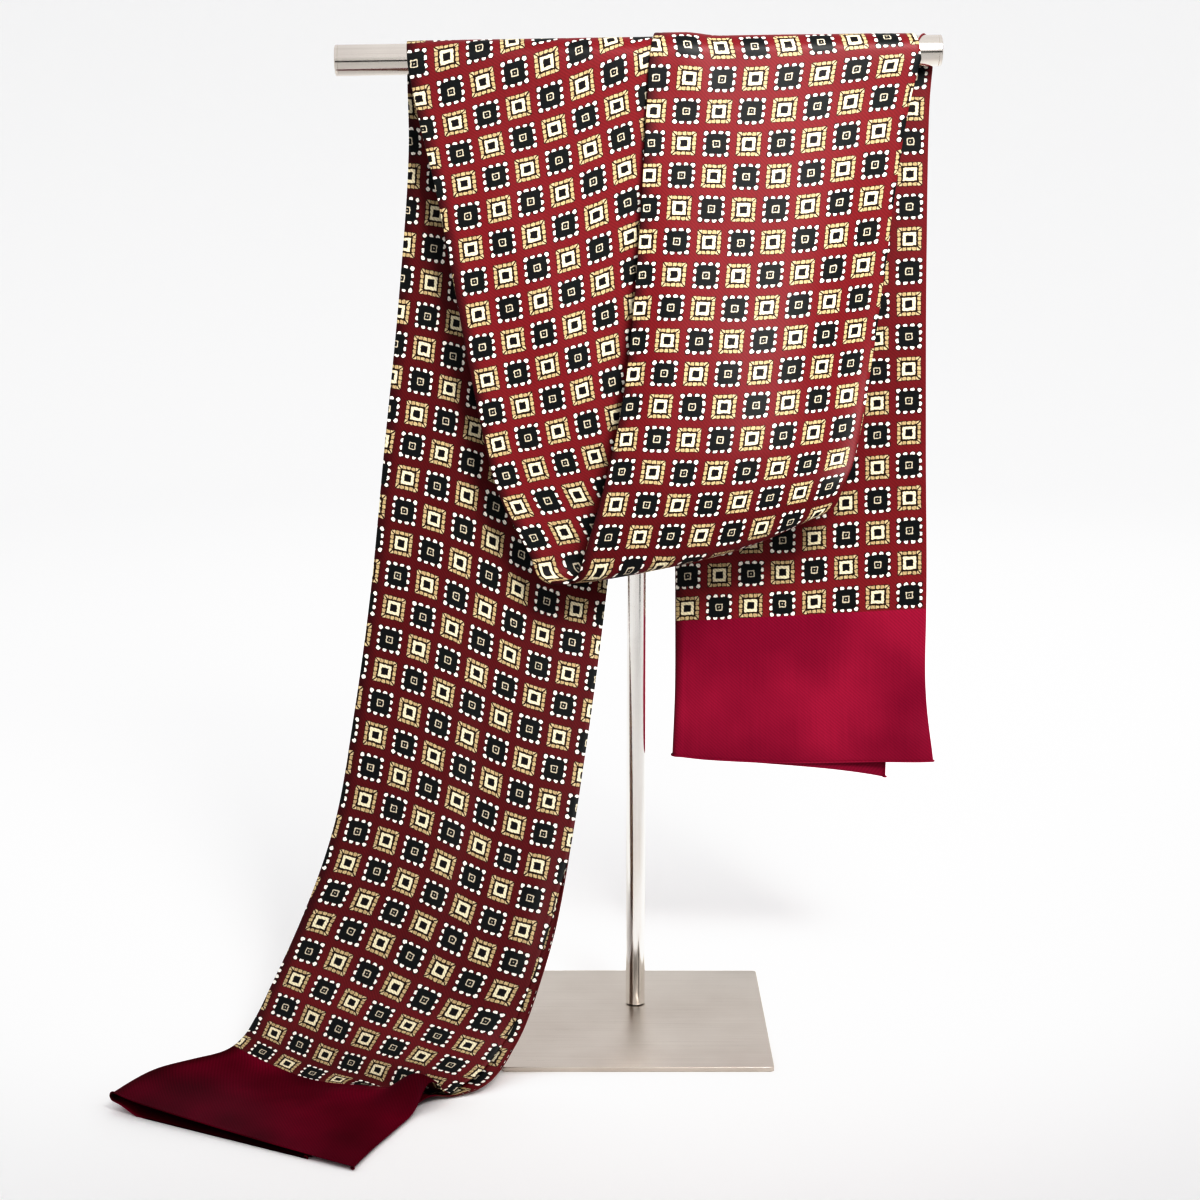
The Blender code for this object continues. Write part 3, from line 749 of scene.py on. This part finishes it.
def clothMesh(name, first, last, strips):
    # One piece of the cloth, with each point's place on the flat cloth for the dye, the print and
    # the painted shade
    points, places = clothPoints[first:last + 1], clothPlaces[first:last + 1]
    rows, wide = points.shape[:2]
    corner = np.arange(rows * wide).reshape(rows, wide)
    faces = np.stack([corner[:-1, :-1], corner[:-1, 1:], corner[1:, 1:], corner[1:, :-1]], axis=-1)
    mesh = bpy.data.meshes.new(name)
    mesh.from_pydata((points.reshape(-1, 3) * mm).tolist(), [], faces.reshape(-1, 4).tolist())
    flat = places.reshape(-1, 3).astype(np.float32)
    fromFold = mesh.attributes.new("fromFold", "FLOAT", "POINT")
    fromFold.data.foreach_set("value", flat[:, 2].copy())
    place = mesh.attributes.new("clothPlace", "FLOAT_VECTOR", "POINT")
    place.data.foreach_set("vector", (flat * (1, 1, 0)).astype(np.float32).ravel())
    # The cloth laid flat in the unit square, cut into strips side by side, for the baked pictures
    margin = 0.004
    across = (places[..., 0] - places[..., 0].min()) / np.ptp(places[..., 0])
    cuts = [round((rows - 1) * strip / strips) for strip in range(strips + 1)]
    spread = np.zeros(faces.shape[:2] + (4, 2))
    for strip, (start, end) in enumerate(zip(cuts[:-1], cuts[1:])):
        down = places[start:end + 1, :, 1]
        down = (down - down.min()) / np.ptp(down)
        x = (strip + margin + (1 - 2 * margin) * across[start:end + 1]) / strips
        square = np.stack([x, margin / 2 + (1 - margin) * down], axis=-1)
        spread[start:end] = np.stack([square[:-1, :-1], square[:-1, 1:], square[1:, 1:],
                                      square[1:, :-1]], axis=2)
    laid = mesh.uv_layers.new(name="OFBake")
    laid.data.foreach_set("uv", spread.astype(np.float32).ravel())
    mesh.shade_smooth()
    return putIn(bpy.data.objects.new(name, mesh))


# The silk. Its ground tones carry painted shade and painted light along the cloth, set to go with
# the light and the contrast above.
silk = {
    "repeatAcross": 19.0, "repeatAlong": 19.5,     # mm from one motif to the next
    "firstColumn": 9.7, "firstRow": 101.5,         # mm, middle of the first motif
    # The ground's lit tone and its tone in painted shade
    "ground": "#85282f", "groundShaded": "#661a20",
    # mm along and how much painted light the ground gets there, from its tone in painted shade (0)
    # to its lit tone (1): painted shade at the foot, on the left tail, under the turn of the swag
    # and partly on the right tail, painted light on a band of the foot and on the falls
    "paintedShadeAlong": [(95, 0), (118, 0.05), (138, 0.55), (165, 0.5), (205, 0.05), (620, 0.05), (770, 0.84),
               (1040, 0.84), (1085, 0.1), (1110, 0.1), (1150, 0.6), (1250, 0.7), (1345, 0.8),
               (1440, 0.5), (1600, 0.5), (1740, 1), (1800, 1)],
    "patches": 0.02, "uneven": 0.15,               # patches of dye in each mm, and how far they go
    # Painted shade towards the fold: its dark tone, and how many mm from the fold it reaches
    "foldShadeTone": "#460e16", "foldShadeReach": 10,        # mm
    "edge": 0.10,                                  # mm, half the soft edge of a mark
    "wobbles": 0.55, "wobble": 1.1,                # waves of the edges in each mm, and their mm
    "ribPitch": 1.5554,                            # mm between the ribs as drawn
    "slubWide": 0.9, "slubLong": 40,               # mm
    "shade": (0.76, 1.20),                         # tone of the dye between the ribs and on them
    "rough": (0.40, 0.50), "gloss": 0.30, "relief": 0.10, "reliefDepth": 0.06 * mm,
}
# The two plain ends are the same silk. The lying end's tones are painted darker than the hanging
# end's: painted shade for the end that lies flat on the floor.
plainFloor = {"name": "silk twill, dyed plain, lying end, painted shade", "tones": ("#540620", "#7c0c34"),
              "gloss": 0.06}
plainHanging = {"name": "silk twill, dyed plain, hanging end", "tones": ("#8c1a40", "#a2284c"),
                "gloss": 0.14}
plainDye = {"patches": 0.014, "ramp": (0.35, 0.65)}

# Marks of the two motifs, painted in this order. Each one is a box with round corners. Places and
# half sizes are mm from the middle of the motif, given for one eighth of it: first the distance
# towards its nearest side, then the distance along that side. The lines inside the dark motif are a
# plain closed square with a dot.
darkMotif = [
    {"at": (6.35, 2.15), "half": (1.75, 1.90), "corner": 1.60, "tone": "#1c0c0c"},
    {"at": (6.20, 6.20), "half": (1.85, 1.85), "corner": 1.60, "tone": "#1c0c0c"},
    {"at": (6.65, 2.15), "half": (1.12, 1.32), "corner": 1.08, "tone": "#f6f1e8"},
    {"at": (6.30, 6.30), "half": (1.28, 1.28), "corner": 1.15, "tone": "#f6f1e8"},
    {"at": (0, 0), "half": (6.05, 6.05), "corner": 1.70, "tone": "#1b1e1f"},
    {"at": (0, 0), "half": (2.20, 2.20), "corner": 0.60, "tone": "#cfc6b2"},
    {"at": (0, 0), "half": (1.45, 1.45), "corner": 0.30, "tone": "#1b1e1f"},
    {"at": (0, 0), "half": (0.50, 0.40), "corner": 0.35, "tone": "#b5ab96"},
]
creamMotif = [
    {"at": (0, 0), "half": (7.30, 7.30), "corner": 1.00, "tone": "#2a140c"},
    {"at": (6.00, 0), "half": (1.02, 1.20), "corner": 0.50, "tone": "#c9b790"},
    {"at": (6.00, 2.80), "half": (1.02, 1.20), "corner": 0.50, "tone": "#bfab86"},
    {"at": (6.00, 5.60), "half": (1.02, 1.30), "corner": 0.50, "tone": "#cfbe9a", "mitre": 0.45},
    {"at": (0, 0), "half": (3.95, 3.95), "corner": 0.40, "tone": "#e4dbc0"},
    {"at": (0, 0), "half": (2.10, 2.10), "corner": 0.25, "tone": "#1f1b1d"},
]


def paintMotif(tree, spot, lean, start, marks):
    # The marks of one motif over the colour it starts from. spot holds both distances.
    colour, nothing, edge = start, (0, 0, 0), silk["edge"]
    for mark in marks:
        corner = mark["corner"]
        inner = [half - corner for half in mark["half"]] + [0]
        away = spot
        for operation, value in (("SUBTRACT", (*mark["at"], 0)), ("ABSOLUTE", nothing),
                                 ("SUBTRACT", inner), ("MAXIMUM", nothing)):
            away = addNode(tree, "VectorMath", {0: away, 1: value}, operation=operation).outputs[0]
        away = addNode(tree, "VectorMath", {0: away}, operation="LENGTH").outputs["Value"]
        ink = addNode(tree, "MapRange", {"Value": away, "From Min": corner + edge,
                                         "From Max": corner - edge}).outputs[0]
        if "mitre" in mark:
            cut = addNode(tree, "MapRange", {"Value": lean, "From Min": mark["mitre"] - edge,
                                             "From Max": mark["mitre"] + edge}).outputs[0]
            ink = addNode(tree, "Math", {0: ink, 1: cut}, operation="MULTIPLY").outputs[0]
        colour = addNode(tree, "Mix", {"Factor": ink, "A": colour, "B": linear(mark["tone"])},
                         data_type="RGBA").outputs["Result"]
    return colour


def motifPlace(tree, place):
    # Where a point lies in its motif: its two distances from the middle with the longer one first,
    # how much longer that one is, and whether the motif is a cream one
    repeat = (silk["repeatAcross"], silk["repeatAlong"], 1)
    origin = (silk["firstColumn"] - repeat[0] / 2, silk["firstRow"] - repeat[1] / 2, 0)
    # The screen's edges wander a little, so no two marks are quite the same
    cells = addNode(tree, "TexNoise", {"Vector": place, "Scale": silk["wobbles"],
                                       "Detail": 1.0}).outputs[1]
    for operation, value in (("SUBTRACT", (0.5, 0.5, 0.5)),
                             ("MULTIPLY", (silk["wobble"], silk["wobble"], 0)), ("ADD", place),
                             ("SUBTRACT", origin), ("DIVIDE", repeat)):
        cells = addNode(tree, "VectorMath", {0: cells, 1: value}, operation=operation).outputs[0]
    inside = addNode(tree, "VectorMath", {0: cells}, operation="FRACTION").outputs[0]
    for operation, value in (("SUBTRACT", (0.5, 0.5, 0)), ("MULTIPLY", (*repeat[:2], 0)),
                             ("ABSOLUTE", (0, 0, 0))):
        inside = addNode(tree, "VectorMath", {0: inside, 1: value}, operation=operation).outputs[0]
    across, along = addNode(tree, "SeparateXYZ", {0: inside}).outputs[:2]
    far = addNode(tree, "Math", {0: across, 1: along}, operation="MAXIMUM").outputs[0]
    near = addNode(tree, "Math", {0: across, 1: along}, operation="MINIMUM").outputs[0]
    lean = addNode(tree, "Math", {0: far, 1: near}, operation="SUBTRACT").outputs[0]
    spot = addNode(tree, "CombineXYZ", {0: far, 1: near}).outputs[0]
    # The column and row numbers of a cream motif add up to an odd one
    number = addNode(tree, "VectorMath", {0: cells}, operation="FLOOR").outputs[0]
    column, line = addNode(tree, "SeparateXYZ", {0: number}).outputs[:2]
    odd = addNode(tree, "Math", {0: column, 1: line}, operation="ADD").outputs[0]
    for operation, value in (("MULTIPLY", 0.5), ("FRACT", 0), ("GREATER_THAN", 0.25)):
        odd = addNode(tree, "Math", {0: odd, 1: value}, operation=operation).outputs[0]
    return spot, lean, odd


def groundShadeAndDye(tree, place):
    # Painted shade and painted light along the cloth: the ground is painted darker at the foot, on
    # the left tail and under the turn of the swag, and lighter on the falls. Its dye is also a
    # little uneven at random.
    along = addNode(tree, "SeparateXYZ", {0: place}).outputs[1]
    length = silk["paintedShadeAlong"][-1][0]
    way = addNode(tree, "Math", {0: along, 1: length}, operation="DIVIDE").outputs[0]
    # How much painted light the ground gets at each place along the cloth
    depth = addNode(tree, "ValToRGB", {0: way})
    stops = depth.color_ramp.elements
    while len(stops) < len(silk["paintedShadeAlong"]):
        stops.new(0.5)
    for stop, (at, level) in zip(stops, silk["paintedShadeAlong"]):
        stop.position = at / length
        stop.color = (level, level, level, 1)
    patches = addNode(tree, "TexNoise", {"Vector": place, "Scale": silk["patches"],
                                         "Detail": 3.0}).outputs[0]
    patches = addNode(tree, "MapRange", {"Value": patches, "To Min": -silk["uneven"],
                                         "To Max": silk["uneven"]}).outputs[0]
    # Painted shade along the cloth, plus the random patches of dye
    dye = addNode(tree, "Math", {0: depth.outputs[0], 1: patches}, operation="ADD",
                  use_clamp=True).outputs[0]
    return addNode(tree, "Mix", {"Factor": dye, "A": linear(silk["groundShaded"]),
                                 "B": linear(silk["ground"])}, data_type="RGBA").outputs["Result"]


def paintedFoldShade(tree, dye):
    # Painted shade: the colour darkens towards the fold, for the shade where the cloth turns away
    # from the light round it
    fromFold = addNode(tree, "Attribute", attribute_name="fromFold").outputs["Fac"]
    # Full painted shade at the fold, fading to none at its reach
    deep = addNode(tree, "MapRange", {"Value": fromFold, "From Max": silk["foldShadeReach"],
                                      "To Min": 1.0, "To Max": 0.0},
                   interpolation_type="SMOOTHSTEP").outputs[0]
    return addNode(tree, "Mix", {"Factor": deep, "A": dye, "B": linear(silk["foldShadeTone"])},
                   data_type="RGBA").outputs["Result"]


def silkTwill(tree, shader, place, colour):
    # Silk twill: a soft gloss with fine diagonal ribs. Real ribs are about 0.35 mm apart and are
    # drawn wider so that they show. Slubs make some threads a little lighter or darker. The wave
    # texture turns ten radians for each unit of both places added up.
    waves = 2 * math.pi / (10 * math.sqrt(2) * silk["ribPitch"])
    ribs = addNode(tree, "TexWave", {"Vector": place, "Scale": waves, "Distortion": 0.6,
                                     "Detail": 1.0},
                   wave_type="BANDS", bands_direction="DIAGONAL").outputs[1]
    slub = (silk["slubWide"], silk["slubLong"], 1)
    threads = addNode(tree, "VectorMath", {0: place, 1: slub}, operation="DIVIDE").outputs[0]
    slubs = addNode(tree, "TexNoise", {"Vector": threads, "Scale": 1.0, "Detail": 3.0}).outputs[0]
    both = addNode(tree, "Math", {0: ribs, 1: slubs}, operation="ADD").outputs[0]
    shade = addNode(tree, "MapRange", {"Value": both, "From Max": 2.0, "To Min": silk["shade"][0],
                                       "To Max": silk["shade"][1]}).outputs[0]
    worn = addNode(tree, "Mix", {"Factor": 1.0, "A": colour, "B": shade}, data_type="RGBA",
                   blend_type="MULTIPLY").outputs["Result"]
    relief = addNode(tree, "Bump", {"Height": both, "Strength": silk["relief"],
                                    "Distance": silk["reliefDepth"]})
    rough = addNode(tree, "MapRange", {"Value": slubs, "To Min": silk["rough"][0],
                                       "To Max": silk["rough"][1]})
    tree.links.new(worn, shader.inputs["Base Color"])
    tree.links.new(rough.outputs[0], shader.inputs["Roughness"])
    tree.links.new(relief.outputs[0], shader.inputs["Normal"])


def printedSilk():
    # Screen printed silk: rows of small squares, near black ones with white drops round them and
    # cream ones with a dashed frame, on wine red, with painted shade along the cloth and towards
    # the fold
    material, tree, shader = newMaterial("silk twill, screen printed",
                                         {"Specular IOR Level": silk["gloss"]})
    place = addNode(tree, "Attribute", attribute_name="clothPlace").outputs["Vector"]
    spot, lean, odd = motifPlace(tree, place)
    ground = paintedFoldShade(tree, groundShadeAndDye(tree, place))
    dark, cream = [paintMotif(tree, spot, lean, ground, marks) for marks in (darkMotif, creamMotif)]
    colour = addNode(tree, "Mix", {"Factor": odd, "A": dark, "B": cream},
                     data_type="RGBA").outputs["Result"]
    silkTwill(tree, shader, place, colour)
    return material


def plainSilk(plain):
    # Dyed silk without print, wine red, bluer than the printed ground and a little uneven in depth,
    # with painted shade towards the fold
    material, tree, shader = newMaterial(plain["name"], {"Specular IOR Level": plain["gloss"]})
    place = addNode(tree, "Attribute", attribute_name="clothPlace").outputs["Vector"]
    depth = addNode(tree, "TexNoise", {"Vector": place, "Scale": plainDye["patches"],
                                       "Detail": 2.0}).outputs[0]
    depth = addNode(tree, "MapRange", {"Value": depth, "From Min": plainDye["ramp"][0],
                                       "From Max": plainDye["ramp"][1]}).outputs[0]
    deep, light = [linear(tone) for tone in plain["tones"]]
    dye = addNode(tree, "Mix", {"Factor": depth, "A": deep, "B": light},
                  data_type="RGBA").outputs["Result"]
    silkTwill(tree, shader, place, paintedFoldShade(tree, dye))
    return material


def makeScarf():
    # Each piece: its first and last row, in how many strips it is laid flat, and its solids
    seam, otherSeam = clothEnds["floorEnd"], clothEnds["rightTail"]
    pieces = [("plainFloorEnd", 0, seam, 1, plainSilk(plainFloor), "plain_silk",
               ("scarf_floor_end",)),
              ("printedLength", seam, otherSeam, 2, printedSilk(), "printed_silk",
               ("scarf_left_tail", "scarf_left_crossing", "scarf_left_fall", "scarf_swag_turn",
                "scarf_right_fall", "scarf_right_crossing", "scarf_right_tail")),
              ("plainHangingEnd", otherSeam, len(clothPoints) - 1, 1, plainSilk(plainHanging),
               "plain_silk", ("scarf_hanging_end",))]
    for name, first, last, strips, material, slot, nodes in pieces:
        obj = clothMesh(name, first, last, strips)
        obj.data.materials.append(material)
        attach(obj, "root")
        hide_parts(*nodes)


makeScarf()
